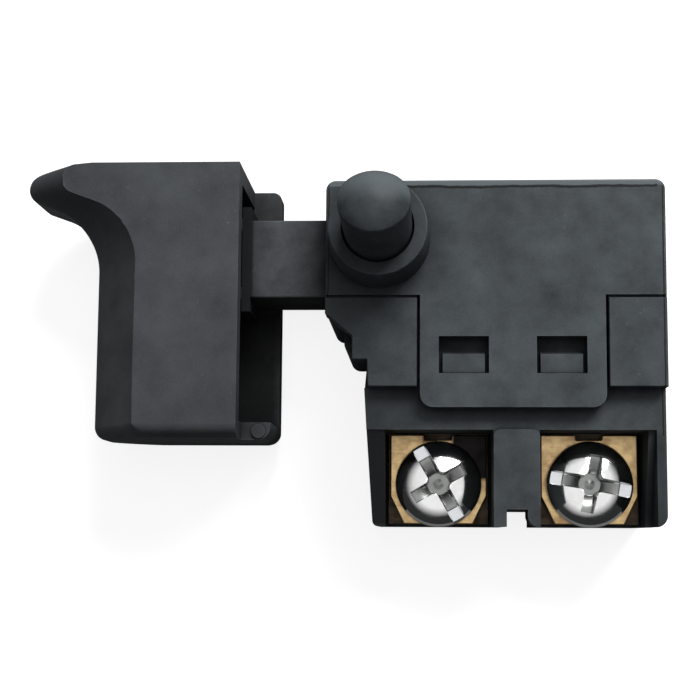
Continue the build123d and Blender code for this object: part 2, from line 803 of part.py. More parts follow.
with BuildPart() as fixed_contact:
    with BuildSketch(Plane.XZ.offset(-pad_top)):
        with Locations((rivet_x, lever_z)):
            Circle(rivet_radius)
    extrude(amount=-rivet_height)
    fillet(fixed_contact.edges().group_by(Axis.Y)[-1], rivet_round)
write(fixed_contact, "fixed_contact")


# Speed control board, flat on the cavity's floor, and what is mounted on it
with BuildPart() as speed_board:
    with BuildSketch(Plane.XY.offset(cavity_floor)):
        with Locations((board_left + board_length / 2, board_low_y + board_height / 2)):
            RectangleRounded(board_length, board_height, edge_round)
    extrude(amount=board_thickness)
write(speed_board, "speed_board")

with BuildPart() as triac:
    with BuildSketch(Plane.XY.offset(board_top)):
        with Locations((terminal_x["right"], triac_y)):
            RectangleRounded(triac_size[0], triac_size[1], edge_round)
    extrude(amount=triac_size[2])
    chamfer(triac.edges().group_by(Axis.Z)[-1], edge_round)
write(triac, "triac")

with BuildPart() as timing_capacitor:
    with BuildSketch(Plane.XY.offset(board_top)):
        with Locations((pivot_x, board_low_y + capacitor_radius + assembly_gap)):
            Circle(capacitor_radius)
    extrude(amount=capacitor_thickness)
    fillet(timing_capacitor.edges().group_by(Axis.Z)[-1], capacitor_thickness / 3)
write(timing_capacitor, "timing_capacitor")


# Axial parts lying on the board: each has a round body, and a lead bent down to the board at each end
axial_parts = {
    "resistors": (
        [(spring_x, pivot_y - row * 3 * resistor_radius) for row in (1, 2)],
        0,
        resistor_radius,
        resistor_length,
    ),
    "trigger_diode": ([(terminal_x["right"], diode_y)], 0, diode_radius, diode_length),
}
for name, (middles, turn, body_radius, body_length) in axial_parts.items():
    reach = body_length / 2 + 3 * lead_radius
    with BuildPart() as axial:
        for middle in middles:
            lying = Plane(Location((*middle, board_top + body_radius), (0, 0, turn)))
            across = Plane(lying.origin, x_dir=lying.z_dir, z_dir=lying.x_dir)
            with BuildSketch(across):
                Circle(body_radius)
            extrude(amount=body_length / 2, both=True)
            with BuildSketch(across):
                Circle(lead_radius)
            extrude(amount=reach + lead_radius, both=True)
            with BuildSketch(lying):
                with GridLocations(2 * reach, 0, 2, 1):
                    Circle(lead_radius)
            extrude(amount=-body_radius)
    write(axial, name)

# Wiper: a springy strip under the plunger, bent down to run along the board's track
with BuildPart() as wiper:
    with BuildSketch(Plane.YZ.offset(follower_x - travel)):
        with BuildLine():
            Polyline(
                (plunger_bottom - wiper_thickness / 2, board_top + 2),
                (plunger_bottom - wiper_thickness / 2, board_top + 2 * wiper_thickness),
                (plunger_bottom - 4 * wiper_thickness, board_top + 2 * wiper_thickness),
                (plunger_bottom - 7 * wiper_thickness, board_top + wiper_thickness / 2 + pivot_fit),
                (plunger_bottom - 9 * wiper_thickness, board_top + 2 * wiper_thickness),
            )
        trace(line_width=wiper_thickness)
    extrude(amount=-wiper_width)
write(wiper, "wiper")
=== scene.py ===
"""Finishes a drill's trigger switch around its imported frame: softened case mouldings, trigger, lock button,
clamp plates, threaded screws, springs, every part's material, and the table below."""

from math import radians

import bmesh
import bpy
import numpy as np
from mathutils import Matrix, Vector


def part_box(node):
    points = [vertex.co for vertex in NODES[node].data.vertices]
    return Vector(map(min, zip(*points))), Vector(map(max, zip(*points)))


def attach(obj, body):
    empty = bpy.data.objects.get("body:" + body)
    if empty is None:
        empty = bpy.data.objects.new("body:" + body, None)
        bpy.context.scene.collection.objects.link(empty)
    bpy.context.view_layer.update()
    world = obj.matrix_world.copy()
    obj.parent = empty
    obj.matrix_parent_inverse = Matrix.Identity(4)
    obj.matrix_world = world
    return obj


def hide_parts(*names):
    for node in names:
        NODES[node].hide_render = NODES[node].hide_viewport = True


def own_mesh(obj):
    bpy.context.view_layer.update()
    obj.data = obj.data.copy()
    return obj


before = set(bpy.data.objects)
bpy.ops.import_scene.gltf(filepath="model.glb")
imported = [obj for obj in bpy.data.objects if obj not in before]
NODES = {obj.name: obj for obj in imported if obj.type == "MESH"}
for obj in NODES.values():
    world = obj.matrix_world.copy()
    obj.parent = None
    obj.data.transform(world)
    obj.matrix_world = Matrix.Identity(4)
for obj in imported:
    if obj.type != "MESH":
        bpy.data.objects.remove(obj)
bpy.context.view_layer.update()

bl_info = {
    "name": "Drill Trigger Switch",
    "version": (1, 0, 0),
    "blender": (4, 5, 0),
    "location": "View3D > Sidebar > Switch",
    "description": "Builds the visible pieces and finishes of a drill's trigger switch around its frame",
    "category": "Mesh",
}

MM = 0.001


# ---------------------------------------------------------------- materials


def feed(tree, socket, value):
    """Links an input to an output socket, or sets it to a plain value."""
    if isinstance(value, bpy.types.NodeSocket):
        tree.links.new(value, socket)
    else:
        socket.default_value = value


def put(tree, kind, values=None, **settings):
    """Adds a node to a tree, with its settings and its inputs, each fed with a socket or a plain value."""
    node = tree.nodes.new(kind)
    for name, value in settings.items():
        setattr(node, name, value)
    for name, value in (values or {}).items():
        feed(tree, node.inputs[name], value)
    return node


def maths(tree, operation, *values, clamp=False):
    """The result of a math node whose inputs are sockets or plain numbers."""
    node = put(tree, "ShaderNodeMath", dict(enumerate(values)), operation=operation, use_clamp=clamp)
    return node.outputs[0]


def vector_maths(tree, operation, values):
    """The vector result of a vector math node, whose inputs are {name or number: value}."""
    return put(tree, "ShaderNodeVectorMath", values, operation=operation).outputs[0]


def spread(tree, value, low, high, to_low=0.0, to_high=1.0):
    """A value taken from one range to another and held inside it."""
    levels = {"Value": value, "From Min": low, "From Max": high, "To Min": to_low, "To Max": to_high}
    return put(tree, "ShaderNodeMapRange", levels).outputs["Result"]


def noise(tree, place, scale, detail, roughness=0.5):
    """The level of a noise texture, from zero to one, at a place."""
    values = {"Vector": place, "Scale": scale, "Detail": detail, "Roughness": roughness}
    return put(tree, "ShaderNodeTexNoise", values).outputs["Fac"]


def waver(tree, place, scale, detail, roughness=0.5):
    """A noise texture's level less its middle, so that it swings about zero."""
    return maths(tree, "SUBTRACT", noise(tree, place, scale, detail, roughness), 0.5)


def own_place(tree):
    """The shaded point in the piece's own coordinates."""
    return put(tree, "ShaderNodeTexCoord").outputs["Object"]


def blend_colours(tree, mask, first, second):
    """Mixes two colours, each a socket or three plain numbers, by a mask."""
    colours = [value if isinstance(value, bpy.types.NodeSocket) else (*value, 1) for value in (first, second)]
    return put(tree, "ShaderNodeMix", {0: mask, 6: colours[0], 7: colours[1]}, data_type="RGBA").outputs[2]


def start_group(name, inputs, outputs):
    """A new node group with named sockets. Inputs are {name: default}, where the default's length gives the
    kind: a plain number, a vector of three or a colour of four. Outputs are names, and all but Colour are
    plain numbers."""
    kinds = {3: "NodeSocketVector", 4: "NodeSocketColor"}
    group = bpy.data.node_groups.new(name, "ShaderNodeTree")
    for socket_name, default in inputs.items():
        kind = kinds[len(default)] if isinstance(default, tuple) else "NodeSocketFloat"
        group.interface.new_socket(socket_name, in_out="INPUT", socket_type=kind).default_value = default
    for socket_name in outputs:
        kind = kinds[4] if socket_name == "Colour" else "NodeSocketFloat"
        group.interface.new_socket(socket_name, in_out="OUTPUT", socket_type=kind)
    return group, put(group, "NodeGroupInput").outputs, put(group, "NodeGroupOutput").inputs


def moulded_surface():
    """Mould-textured nylon: soft clouds of lighter and darker colour, fine grain and pale flecks."""
    group, given, made = start_group(
        "Moulded Surface",
        {
            "Colour": (0.05, 0.05, 0.05, 1),
            "Cloudiness": 0.3,
            "Cloud Scale": 260.0,
            "Flecks": 0.3,
            "Grain": 0.5,
            "Roughness": 0.55,
        },
        ["Colour", "Roughness", "Height"],
    )
    place = own_place(group)
    swing = waver(group, place, given["Cloud Scale"], detail=5.0, roughness=0.62)
    fine = waver(group, place, scale=5200.0, detail=3.0, roughness=0.6)
    grained = maths(group, "MULTIPLY", fine, given["Grain"])
    tint = maths(group, "MULTIPLY_ADD", swing, given["Cloudiness"], 1.0)
    tint = maths(group, "MULTIPLY_ADD", grained, 0.35, tint)
    fleck = put(group, "ShaderNodeTexVoronoi", {"Vector": place, "Scale": 900.0, "Randomness": 1.0})
    dots = spread(group, fleck.outputs["Distance"], 0.16, 0.07)
    rare = spread(group, noise(group, place, scale=150.0, detail=2.0), 0.54, 0.66)
    dots = maths(group, "MULTIPLY", maths(group, "MULTIPLY", dots, rare), given["Flecks"])
    shade = {0: given["Colour"], "Scale": maths(group, "ADD", tint, dots)}
    feed(group, made["Colour"], vector_maths(group, "SCALE", shade))
    rough = maths(group, "MULTIPLY_ADD", swing, 0.22, given["Roughness"])
    feed(group, made["Roughness"], maths(group, "MULTIPLY_ADD", fine, 0.12, rough, clamp=True))
    feed(group, made["Height"], maths(group, "MULTIPLY_ADD", swing, 0.8, grained))
    return group


def edge_rub_and_highlight():
    """Paler edges, part wear and part painted highlight: where edges turn sharply, one less the dot of the
    rounded and true normals, broken up by noise.
    """
    inputs = {"Radius": 0.0003, "Break Up": 600.0, "Amount": 1.0}
    group, given, made = start_group("Edge Rub And Highlight", inputs, ["Mask"])
    rounded = put(group, "ShaderNodeBevel", {"Radius": given["Radius"]}, samples=6).outputs["Normal"]
    straight = put(group, "ShaderNodeNewGeometry").outputs["True Normal"]
    dot = put(group, "ShaderNodeVectorMath", {0: rounded, 1: straight}, operation="DOT_PRODUCT")
    broken = spread(group, noise(group, own_place(group), given["Break Up"], detail=3.0), 0.38, 0.62)
    mask = maths(group, "MULTIPLY", spread(group, dot.outputs["Value"], 0.995, 0.86), broken)
    feed(group, made["Mask"], maths(group, "MULTIPLY", mask, given["Amount"], clamp=True))
    return group


def corner_painted_shade_mask():
    """Painted shade in hollows that the open air reaches least, broken up by noise."""
    group, given, made = start_group("Corner Painted Shade", {"Reach": 0.003, "Amount": 1.0}, ["Mask"])
    hollow = put(group, "ShaderNodeAmbientOcclusion", {"Distance": given["Reach"]}, samples=8)
    closed = spread(group, hollow.outputs["AO"], 0.95, 0.45)
    patchy = noise(group, own_place(group), scale=480.0, detail=4.0)
    broken = spread(group, patchy, 0.3, 0.7, to_low=0.75)
    mask = maths(group, "MULTIPLY", closed, broken)
    feed(group, made["Mask"], maths(group, "MULTIPLY", mask, given["Amount"], clamp=True))
    return group


def flash_line():
    """A thin ragged witness line: near a level of Y that wanders with noise along X, between two ends. With
    Upright at one, X and Y change places."""
    group, given, made = start_group(
        "Flash Line",
        {"Level": 0.0, "Width": 0.0001, "Wander": 0.0001, "From": -1.0, "To": 1.0, "Upright": 0.0},
        ["Mask"],
    )
    place = own_place(group)
    split = put(group, "ShaderNodeSeparateXYZ", {"Vector": place}).outputs
    wander = waver(group, place, scale=420.0, detail=4.0, roughness=0.7)
    swap = maths(group, "SUBTRACT", split["X"], split["Y"])
    across = maths(group, "MULTIPLY_ADD", swap, given["Upright"], split["Y"])
    along = maths(group, "SUBTRACT", split["X"], maths(group, "MULTIPLY", swap, given["Upright"]))
    away = maths(group, "SUBTRACT", across, given["Level"])
    away = maths(group, "SUBTRACT", away, maths(group, "MULTIPLY", wander, given["Wander"]))
    near = maths(group, "DIVIDE", maths(group, "ABSOLUTE", away), given["Width"])
    line = maths(group, "MULTIPLY", maths(group, "SUBTRACT", 1.0, near), 1.8, clamp=True)
    after = maths(group, "GREATER_THAN", along, given["From"])
    before = maths(group, "LESS_THAN", along, given["To"])
    feed(group, made["Mask"], maths(group, "MULTIPLY", line, maths(group, "MULTIPLY", after, before)))
    return group


def box_patch():
    """A mask over a box-shaped place: how far inside it a point lies, over a softness, broken up by noise."""
    group, given, made = start_group(
        "Box Patch",
        {
            "Low Corner": (0, 0, 0),
            "High Corner": (0, 0, 0),
            "Softness": 0.001,
            "Raggedness": 0.001,
            "Amount": 1.0,
        },
        ["Mask"],
    )
    place = own_place(group)
    below = vector_maths(group, "SUBTRACT", {0: given["Low Corner"], 1: place})
    above = vector_maths(group, "SUBTRACT", {0: place, 1: given["High Corner"]})
    outside = vector_maths(group, "MAXIMUM", {0: below, 1: above})
    split = put(group, "ShaderNodeSeparateXYZ", {"Vector": outside}).outputs
    far = maths(group, "MAXIMUM", maths(group, "MAXIMUM", split["X"], split["Y"]), split["Z"])
    ragged = waver(group, place, scale=650.0, detail=4.0, roughness=0.6)
    far = maths(group, "ADD", far, maths(group, "MULTIPLY", ragged, given["Raggedness"]))
    mask = maths(group, "SUBTRACT", 0.5, maths(group, "DIVIDE", far, given["Softness"]), clamp=True)
    feed(group, made["Mask"], maths(group, "MULTIPLY", mask, given["Amount"]))
    return group


def metal_surface():
    """Handled metal: faint stains, fine scratches stretched along X, and rougher patches."""
    group, given, made = start_group(
        "Metal Surface",
        {
            "Colour": (0.8, 0.8, 0.8, 1),
            "Stain": (0.3, 0.3, 0.3, 1),
            "Staining": 0.3,
            "Scratches": 0.5,
            "Roughness": 0.2,
        },
        ["Colour", "Roughness", "Height"],
    )
    place = own_place(group)
    stretch = {"Vector": place, "Scale": (0.12, 1.0, 0.5), "Rotation": (0, 0, radians(27))}
    stretched = put(group, "ShaderNodeMapping", stretch).outputs["Vector"]
    lines = waver(group, stretched, scale=5200.0, detail=2.0)
    scratched = maths(group, "MULTIPLY", lines, given["Scratches"])
    stains = noise(group, place, scale=520.0, detail=5.0, roughness=0.65)
    stained = maths(group, "MULTIPLY", spread(group, stains, 0.42, 0.72), given["Staining"], clamp=True)
    feed(group, made["Colour"], blend_colours(group, stained, given["Colour"], given["Stain"]))
    rough = maths(group, "MULTIPLY_ADD", stained, 0.35, given["Roughness"])
    feed(group, made["Roughness"], maths(group, "MULTIPLY_ADD", scratched, 0.3, rough, clamp=True))
    feed(group, made["Height"], scratched)
    return group


GROUPS = {}


def use_group(tree, maker, values):
    """The outputs of a shared node group placed in a material. The group is built once."""
    if maker not in GROUPS:
        GROUPS[maker] = maker()
    return put(tree, "ShaderNodeGroup", values, node_tree=GROUPS[maker]).outputs


def empty_tree(owner):
    """The emptied node tree of a material or a world."""
    owner.use_nodes = True
    owner.node_tree.nodes.clear()
    return owner.node_tree


def start_material(name, metallic=0.0):
    """A new material with its Principled shader already joined to the output."""
    material = bpy.data.materials.new(name)
    tree = empty_tree(material)
    shader = put(tree, "ShaderNodeBsdfPrincipled", {"Metallic": metallic})
    put(tree, "ShaderNodeOutputMaterial", {"Surface": shader.outputs["BSDF"]})
    return material, tree, shader.inputs


def finish_shader(tree, shader, tone, rough, height, distance, strength):
    """Feeds a shader its colour, its roughness and, through a Bump node, the normal of a height."""
    feed(tree, shader["Base Color"], tone)
    feed(tree, shader["Roughness"], rough)
    bump = put(tree, "ShaderNodeBump", {"Distance": distance, "Strength": strength, "Height": height})
    feed(tree, shader["Normal"], bump.outputs["Normal"])


def shaded(colour, share):
    """A colour made darker, or lighter where the share is above one."""
    return [c * share for c in colour]


def tint_place(tree, tone, colour, low, high, softness, raggedness, amount):
    """Blends a colour over a tone between two corners."""
    values = {
        "Low Corner": low,
        "High Corner": high,
        "Softness": softness,
        "Raggedness": raggedness,
        "Amount": amount,
    }
    return blend_colours(tree, use_group(tree, box_patch, values)["Mask"], tone, colour)


def nylon(
    name, colour, clouds=1.8, cloud_scale=260.0, flecks=0.4, roughness=0.46, rub_and_highlight=0.5, lines=(), patches=()
):
    """Charcoal moulded nylon with paler edges, part wear and part painted highlight, and painted shade in its
    hollows. A box patch is (low corner, high corner, softness, amount): painted shade that darkens the
    colour;
    where its amount is negative, painted highlight that lightens it, with wear as well on the button's crown.
    A ragged flash line is (upright, level, width, wander, start, end)."""
    material, tree, shader = start_material(name)
    surface = use_group(
        tree,
        moulded_surface,
        {
            "Colour": (*colour, 1),
            "Cloudiness": clouds,
            "Cloud Scale": cloud_scale,
            "Flecks": flecks,
            "Grain": 1.2,
            "Roughness": roughness,
        },
    )
    # Paler edges: part wear, part painted highlight.
    worn = use_group(tree, edge_rub_and_highlight, {"Radius": 0.22 * MM, "Break Up": 520.0, "Amount": rub_and_highlight})["Mask"]
    tone = blend_colours(tree, worn, surface["Colour"], [c + 0.012 for c in shaded(colour, 1.9)])
    # Painted shade: the colour darkened to a fifth in hollows; the same mask also roughens them.
    painted_shade_mask = use_group(tree, corner_painted_shade_mask, {"Reach": 9.0 * MM, "Amount": 0.9})["Mask"]
    tone = blend_colours(tree, painted_shade_mask, tone, shaded(colour, 0.18))
    # Box patches: painted shade where they darken, painted highlight where they lighten.
    for low, high, softness, amount in patches:
        shade = shaded(colour, 0.1 if amount > 0 else 2.4)
        tone = tint_place(tree, tone, shade, low, high, softness, 0.6 * softness, abs(amount))
    height = surface["Height"]
    for line in lines:
        values = dict(zip(("Upright", "Level", "Width", "Wander", "From", "To"), line))
        mask = use_group(tree, flash_line, values)["Mask"]
        tone = blend_colours(tree, mask, tone, shaded(colour, 0.16))
        height = maths(tree, "MULTIPLY_ADD", mask, -1.0, height)
    rough = maths(tree, "MULTIPLY_ADD", painted_shade_mask, 0.45, surface["Roughness"], clamp=True)
    shader["Specular IOR Level"].default_value = 0.12
    finish_shader(tree, shader, tone, rough, height, distance=0.02 * MM, strength=0.55)
    return material


def metal(name, colour, stain, staining, scratches, roughness, depth=0.004 * MM, dark_patches=()):
    """A metal with stains, fine scratches and any near-black patches, each (low corner, high corner,
    softness).
    """
    material, tree, shader = start_material(name, metallic=1.0)
    surface = use_group(
        tree,
        metal_surface,
        {
            "Colour": (*colour, 1),
            "Stain": (*stain, 1),
            "Staining": staining,
            "Scratches": scratches,
            "Roughness": roughness,
        },
    )
    tone, near_black = surface["Colour"], (0.008, 0.007, 0.007)
    for low, high, softness in dark_patches:
        tone = tint_place(tree, tone, near_black, low, high, softness, softness, 1.0)
    finish_shader(tree, shader, tone, surface["Roughness"], surface["Height"], depth, strength=0.6)
    return material


def zinc_plate():
    """Bright zinc: a mirror-like dome, a satin slot floor and a cross painted darker grey as shade, by the
    Recess share.
    """
    material, tree, shader = start_material("Bright Zinc", metallic=1.0)
    surface = use_group(
        tree,
        metal_surface,
        {
            "Colour": (0.84, 0.84, 0.84, 1),
            "Stain": (0.45, 0.44, 0.41, 1),
            "Staining": 0.25,
            "Scratches": 0.3,
            "Roughness": 0.09,
        },
    )
    recess = put(tree, "ShaderNodeAttribute", attribute_name="Recess").outputs["Fac"]
    satin = spread(tree, recess, 0.1, 0.5)
    # Painted shade: the cross recess much darker grey.
    painted_cross_shade = spread(tree, recess, 0.55, 0.95)
    tone = blend_colours(tree, satin, surface["Colour"], (0.42, 0.43, 0.44))
    tone = blend_colours(tree, painted_cross_shade, tone, (0.17, 0.175, 0.17))
    rough = maths(tree, "MULTIPLY_ADD", satin, 0.2, surface["Roughness"])
    finish_shader(tree, shader, tone, rough, surface["Height"], distance=0.004 * MM, strength=0.6)
    return material


def coated(name, colour, clouds, grain, roughness, coat=0.0):
    """A painted, dipped or lacquered component body."""
    material, tree, shader = start_material(name)
    surface = use_group(
        tree,
        moulded_surface,
        {
            "Colour": (*colour, 1),
            "Cloudiness": clouds,
            "Cloud Scale": 700.0,
            "Flecks": 0.2,
            "Grain": grain,
            "Roughness": roughness,
        },
    )
    shader["Coat Weight"].default_value = coat
    tone, rough, height = surface["Colour"], surface["Roughness"], surface["Height"]
    finish_shader(tree, shader, tone, rough, height, distance=0.01 * MM, strength=0.4)
    return material


# ------------------------------------------------------------------- meshes


def grid_faces(rows, columns, wrap_columns=False):
    """Corner numbers of the quads of a rows by columns grid, wrapping round along its columns if asked."""
    row, column = np.meshgrid(np.arange(rows - 1), np.arange(columns - (not wrap_columns)), indexing="ij")
    after = (column + 1) % columns
    here, below = row * columns, (row + 1) * columns
    return np.stack((here + column, here + after, below + after, below + column), axis=-1).reshape(-1, 4)


def read_points(mesh):
    """A mesh's points as rows of X, Y and Z."""
    places = np.empty(len(mesh.vertices) * 3)
    mesh.vertices.foreach_get("co", places)
    return places.reshape(-1, 3)


def smooth(mesh, sharp):
    """Smooths a mesh's shading but for edges that turn by more than the given degrees."""
    mesh.shade_smooth()
    mesh.set_sharp_from_angle(angle=radians(sharp))


def move_points(mesh, places, sharp):
    """Puts a mesh's points at new places, and smooths its shading again."""
    mesh.vertices.foreach_set("co", places.ravel())
    mesh.update()
    smooth(mesh, sharp)


def finish_mesh(mesh, weld, sharp, flatten=None):
    """Welds a mesh's doubles, clears faces with no area, joins level faces if asked, and smooths its
    shading."""
    work = bmesh.new()
    work.from_mesh(mesh)
    bmesh.ops.remove_doubles(work, verts=work.verts, dist=weld)
    bmesh.ops.dissolve_degenerate(work, edges=work.edges, dist=weld)
    if flatten is not None:
        bmesh.ops.dissolve_limit(work, verts=work.verts, edges=work.edges, angle_limit=radians(flatten))
    bmesh.ops.recalc_face_normals(work, faces=work.faces)
    work.to_mesh(mesh)
    work.free()
    smooth(mesh, sharp)


def make_mesh(name, surfaces, weld, sharp):
    """One mesh from several (points, faces) surfaces: welded, with thin faces removed and normals
    outwards."""
    points, faces, base = [], [], 0
    for surface_points, surface_faces in surfaces:
        points.append(surface_points.reshape(-1, 3))
        faces.append(surface_faces + base)
        base += points[-1].shape[0]
    mesh = bpy.data.meshes.new(name)
    mesh.from_pydata(np.concatenate(points).tolist(), [], np.concatenate(faces).tolist())
    finish_mesh(mesh, weld, sharp)
    return mesh


def merged_copy(node, name, flatten=None):
    """A frame node's mesh, copied and merged."""
    mesh = NODES[node].data.copy()
    mesh.name = name
    finish_mesh(mesh, weld=2e-6, sharp=30.0, flatten=flatten)
    return mesh


def place_piece(name, mesh, material, body, node):
    """Puts a mesh in the scene as a piece that rides a body and stands for a node."""
    piece = bpy.data.objects.new(name, mesh)
    bpy.context.scene.collection.objects.link(piece)
    mesh.materials.clear()
    mesh.materials.append(material)
    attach(piece, body)
    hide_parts(node)
    return piece


def soften_node(node, name, material, body, width, shape=None):
    """A merged copy of a frame node, shaped further if asked, with a small real rounding on sharp edges."""
    mesh = merged_copy(node, name, flatten=0.4)
    if shape is not None:
        shape(mesh)
    piece = place_piece(name, mesh, material, body, node)
    rounding = piece.modifiers.new("Rounded Edges", "BEVEL")
    rounding.width = width
    rounding.segments = 2
    rounding.limit_method = "ANGLE"
    rounding.angle_limit = radians(38)
    rounding.miter_outer = "MITER_ARC"
    weighted = piece.modifiers.new("Face Weighted Normals", "WEIGHTED_NORMAL")
    weighted.keep_sharp = True


def shorten_spring(material, node, name, joint, axis, fixed_end, stroke):
    """A merged copy of a spring's node, put on the housing in the node's stead.
    The joint, the axis (0, 1 or 2), the fixed end (a level along it) and the stroke (the free end's travel)
    are not used."""
    piece = place_piece(name, merged_copy(node, name), material, "housing", node)
    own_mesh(piece)


def finish_node(node, material):
    """Gives a frame node its material and keeps its shape."""
    data = NODES[node].data
    data.materials.clear()
    data.materials.append(material)


# ------------------------------------------------------------------ settings


def length_setting(name, description, default, **limits):
    """A setting that is a length in metres."""
    return bpy.props.FloatProperty(
        name=name, description=description, default=default, subtype="DISTANCE", unit="LENGTH", **limits
    )


def angle_setting(name, description, degrees):
    """A setting that is an angle, given in degrees and kept in radians."""
    angle = radians(degrees)
    return bpy.props.FloatProperty(name=name, description=description, default=angle, subtype="ANGLE")


def colour_setting(description, default):
    """A setting that is a colour."""
    return bpy.props.FloatVectorProperty(
        name="Colour", description=description, default=default, size=3, subtype="COLOR"
    )


def power_setting(name, description, default):
    """A setting that is a lamp's power in watts."""
    return bpy.props.FloatProperty(name=name, description=description, default=default, unit="POWER")


class SWITCH_PG_case(bpy.types.PropertyGroup):
    """The case's colour, its edges and its flash line"""

    colour: colour_setting("Colour of the case's nylon", (0.057, 0.066, 0.071))
    edge: length_setting("Edge Rounding", "Rounding of the mouldings' edges", 0.16 * MM, min=0.0)
    flash_drop: length_setting(
        "Flash Line Drop", "How far below the cap's top edge its ragged flash line runs", 0.75 * MM
    )


class SWITCH_PG_trigger(bpy.types.PropertyGroup):
    """The trigger's colour and the section of its finger side"""

    colour: colour_setting("Colour of the trigger's nylon", (0.062, 0.067, 0.072))
    edge: length_setting("Edge Rounding", "Rounding of the trigger's sharp edges", 0.2 * MM, min=0.0)
    round: length_setting("Finger Rounding", "Radius of the finger side's section in the frame", 4.5 * MM)
    face_inset: length_setting("Face Inset", "How far the finger side lies behind the nose", 7.7 * MM)
    set_back: length_setting(
        "Set-back", "How far the flat face's edge lies behind the front of the finger side", 4.7 * MM
    )
    front_band: length_setting("Front Band", "Half the height of the finger side's level band", 1.2 * MM)
    nose_band: length_setting("Nose Band", "Half the height of the nose's level band", 2.2 * MM)
    swell: length_setting("Swell", "How far the finger side swells forwards below the nose", 0.4 * MM)
    front_bend: bpy.props.FloatProperty(
        name="Front Bend", description="How gently the front band turns into the straight flank", default=0.15
    )


class SWITCH_PG_button(bpy.types.PropertyGroup):
    """The lock button's worn dome"""

    rim: length_setting("Rim Radius", "Radius where the dome meets the sides", 3.27 * MM)
    dome: length_setting("Dome Radius", "Radius of the sphere of the dome", 4.3 * MM)
    lean: length_setting("Dome Lean", "How far the middle of the dome's sphere lies off the axis", 1.0 * MM)
    edge: length_setting("Edge Rounding", "Rounding of the rim", 0.12 * MM)


class SWITCH_PG_screws(bpy.types.PropertyGroup):
    """The terminal screws' heads, recesses and threads"""

    radius: length_setting("Head Radius", "Radius of a screw's head", 4.39 * MM)
    rim: length_setting("Rim Height", "Height of the head's straight rim", 0.7 * MM)
    rise: length_setting("Head Height", "Height of the whole head above the clamp plate", 2.53 * MM)
    slot_width: length_setting("Slot Width", "Width of the slot and the cross", 1.3 * MM)
    slot_depth: length_setting("Slot Depth", "Depth of the slot below the crown of the head", 1.6 * MM)
    lip: length_setting("Rim Rounding", "Rounding of the dome's rim", 0.35 * MM)
    cross_fillet: length_setting("Cross Corners", "Rounding between the arms of the cross", 0.55 * MM)
    cross_fall: length_setting("Cross Fall", "How far the floor of the cross falls to its middle", 0.75 * MM)
    cross_length: length_setting("Cross Length", "Span of the cross recess", 5.8 * MM)
    left_turn: angle_setting("Left Slot Angle", "How the left screw's slot lies", -60)
    right_turn: angle_setting("Right Slot Angle", "How the right screw's slot lies", -10)
    pitch: length_setting("Thread Pitch", "Pitch of the M4 thread", 0.7 * MM)
    thread_depth: length_setting("Thread Depth", "Depth of the thread", 0.38 * MM)


class SWITCH_PG_springs(bpy.types.PropertyGroup):
    """Travels for the springs' free ends, which the spring pieces don't use"""

    trigger_travel: length_setting(
        "Trigger Travel", "How far the trigger pushes its return spring in", 5.5 * MM, min=0.0
    )
    button_travel: length_setting(
        "Button Travel", "How far the lock button pushes its spring down", 3.0 * MM, min=0.0
    )
    lever_travel: length_setting(
        "Lever Travel", "How far the contact lever pushes its spring back", 0.72 * MM, min=0.0
    )


class SWITCH_PG_stage(bpy.types.PropertyGroup):
    """The table and the lights"""

    table_size: length_setting("Table Size", "Side of the table", 1.6)
    key: power_setting("Key Light", "Power of the soft box beyond the top edge", 2.2)
    fill: power_setting("Fill Light", "Power of the soft box overhead", 0.3)
    room: bpy.props.FloatProperty(
        name="Room Light", description="Strength of the light from all round", default=0.08
    )


# ----------------------------------------------------------------- operators

# Level of the case's broad upper face.
CASE_FACE = 14.0 * MM


class SWITCH_OT_case(bpy.types.Operator):
    """Rounds the edges of the case's cap and base, and gives them their charcoal nylon"""

    bl_idname = "switch.case"
    bl_label = "Case Mouldings"

    def execute(self, context):
        size = context.scene.switch_case
        low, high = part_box("upper_housing")
        flash, stop, thin = high.y - size.flash_drop, 0.8 * MM, 0.1 * MM
        # Painted highlight: a lighter band along the cap's top edge, between the flash line and the rim.
        painted_rim_highlight = (
            (low.x + 0.4 * MM, flash + thin, CASE_FACE - 0.25 * MM),
            (high.x - 0.4 * MM, high.y + thin, CASE_FACE + 1 * MM),
            0.12 * MM,
            -0.8,
        )
        cap = nylon(
            "Cap Nylon",
            size.colour,
            lines=[
                (0, flash, 0.2 * MM, 0.5 * MM, low.x + 6.0 * MM, high.x - stop),
                (1, low.x + 0.28 * MM, thin, 0.4 * MM, low.y, high.y - stop),
                (1, high.x - 0.32 * MM, thin, 0.12 * MM, low.y, high.y - stop),
            ],
            patches=[painted_rim_highlight],
        )
        foot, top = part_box("lower_housing")
        left_low, left_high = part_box("left_clamp")
        right_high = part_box("right_clamp")[1]
        lug_end = (foot.x + 9.4 * MM, foot.y + 13.2 * MM, top.z)
        base = nylon(
            "Base Nylon",
            shaded(size.colour, 0.92),
            lines=[(1, top.x - 0.32 * MM, thin, 0.12 * MM, foot.y + 9 * MM, top.y)],
            patches=[
                # Painted shadow under the left lug, over the band above the left clamp.
                ((foot.x, left_high.y, 10 * MM), lug_end, 0.8 * MM, 0.4),
                # Painted shade: the left chamber's outer wall, darkened almost to black.
                ((foot.x, foot.y, 5 * MM), (left_low.x, left_high.y, top.z), 0.8 * MM, 0.97),
                # Painted shade: the right chamber's outer wall, darkened.
                ((right_high.x, foot.y, 5 * MM), (top.x, right_high.y, top.z), 0.8 * MM, 0.4),
            ],
        )
        soften_node("upper_housing", "case_cap", cap, "housing", size.edge)
        soften_node("lower_housing", "case_base", base, "housing", size.edge)
        return {"FINISHED"}


def ease(share):
    """Three times a share's square less twice its cube: from zero to one, with level ends."""
    return share * share * (3 - 2 * share)


